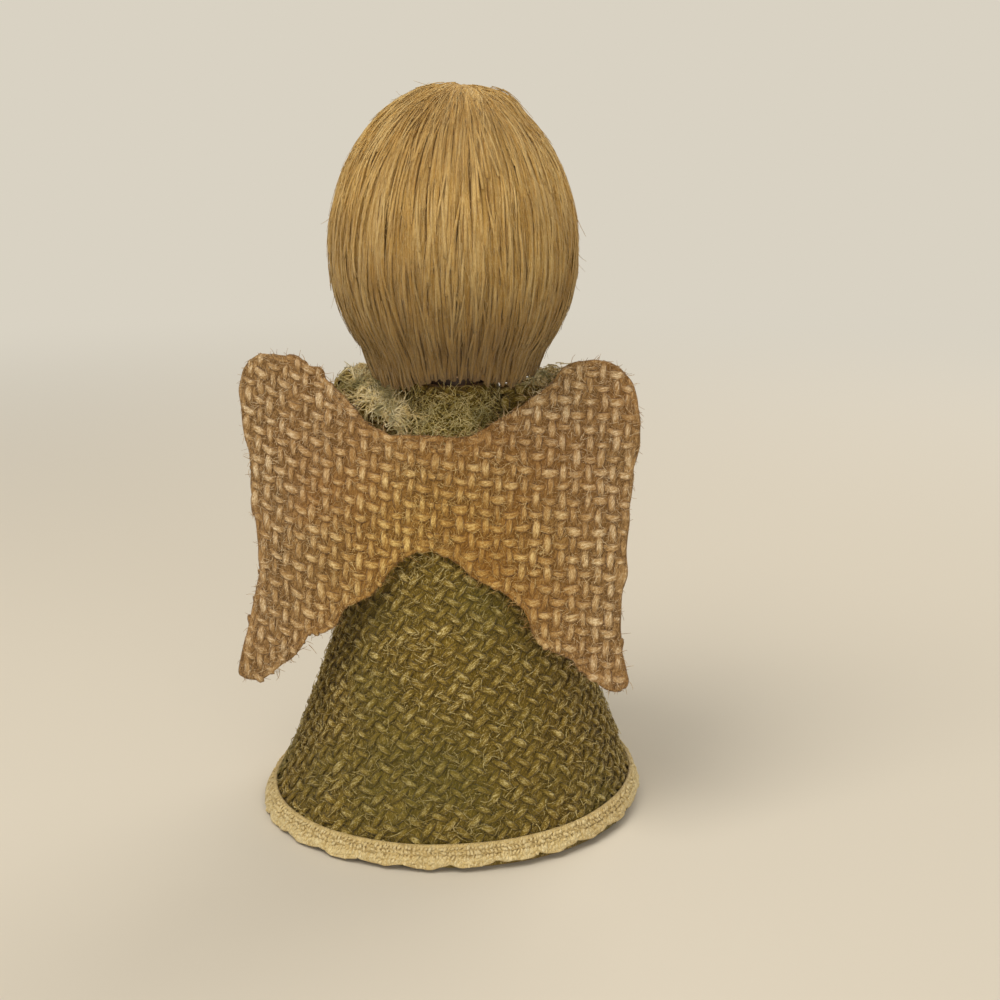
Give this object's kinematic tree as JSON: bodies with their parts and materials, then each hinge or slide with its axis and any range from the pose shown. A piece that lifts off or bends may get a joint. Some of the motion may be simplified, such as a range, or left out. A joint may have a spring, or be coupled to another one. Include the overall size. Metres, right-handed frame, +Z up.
{
  "type": "jute angel ornament",
  "caption": "Standing angel doll with a burlap cone dress, jute hair, stiff burlap wings that flex and a head that turns on its neck peg; stands on an open hem or slips over a tree top.",
  "frame": {"origin": "centre of the hem on the surface that the ornament stands on", "axes": "+Z up, the figure faces -Y, its own left side is at +X and the wings are at +Y"},
  "size_m": [0.0831, 0.0814, 0.15],
  "materials": {
    "card": "grey-brown kraft card",
    "wood": "plain birch",
    "green_burlap": "olive green dyed burlap, hairy",
    "cream_braid": "cream cotton gimp braid",
    "skin_felt": "flesh-coloured felt",
    "pulp": "spun cotton pulp, painted matt",
    "jute_hair": "golden brown jute fibre",
    "dark_felt": "dark brown felt",
    "red_felt": "brick red felt",
    "brown_burlap": "orange brown stiffened burlap"
  },
  "bodies": {
    "figure": {"card_cone": "card", "neck_plug": "wood", "neck_dowel": "wood", "dress": "green_burlap", "hem_trim": "cream_braid", "neck_trim": "cream_braid", "sleeve_left": "green_burlap", "sleeve_right": "green_burlap", "cuff_trim_left": "cream_braid", "cuff_trim_right": "cream_braid", "hand_left": "skin_felt", "hand_right": "skin_felt", "wing_centre": "brown_burlap"},
    "head": {"head_egg": "pulp", "hair_back": "jute_hair", "hair_left": "jute_hair", "hair_right": "jute_hair", "hair_fringe": "jute_hair", "eye_left": "dark_felt", "eye_right": "dark_felt", "mouth": "red_felt"},
    "left_wing": {"wing_left": "brown_burlap"},
    "right_wing": {"wing_right": "brown_burlap"}
  },
  "joints": [
    {"name": "head_turn", "type": "hinge", "parent": "figure", "child": "head", "pos_m": [0, 0, 0.0927], "axis": [0, 0, 1], "continuous": true},
    {"name": "wing_left_flex", "type": "hinge", "parent": "figure", "child": "left_wing", "pos_m": [0.0066, 0.01586, 0.0698], "axis": [0, -0.3007, 0.9537], "range_deg": [-10, 25], "stiffness_Nm_per_rad": 0.02},
    {"name": "wing_right_flex", "type": "hinge", "parent": "figure", "child": "right_wing", "pos_m": [-0.0034, 0.01586, 0.0698], "axis": [0, 0.3007, -0.9537], "range_deg": [-10, 25], "stiffness_Nm_per_rad": 0.02}
  ]
}
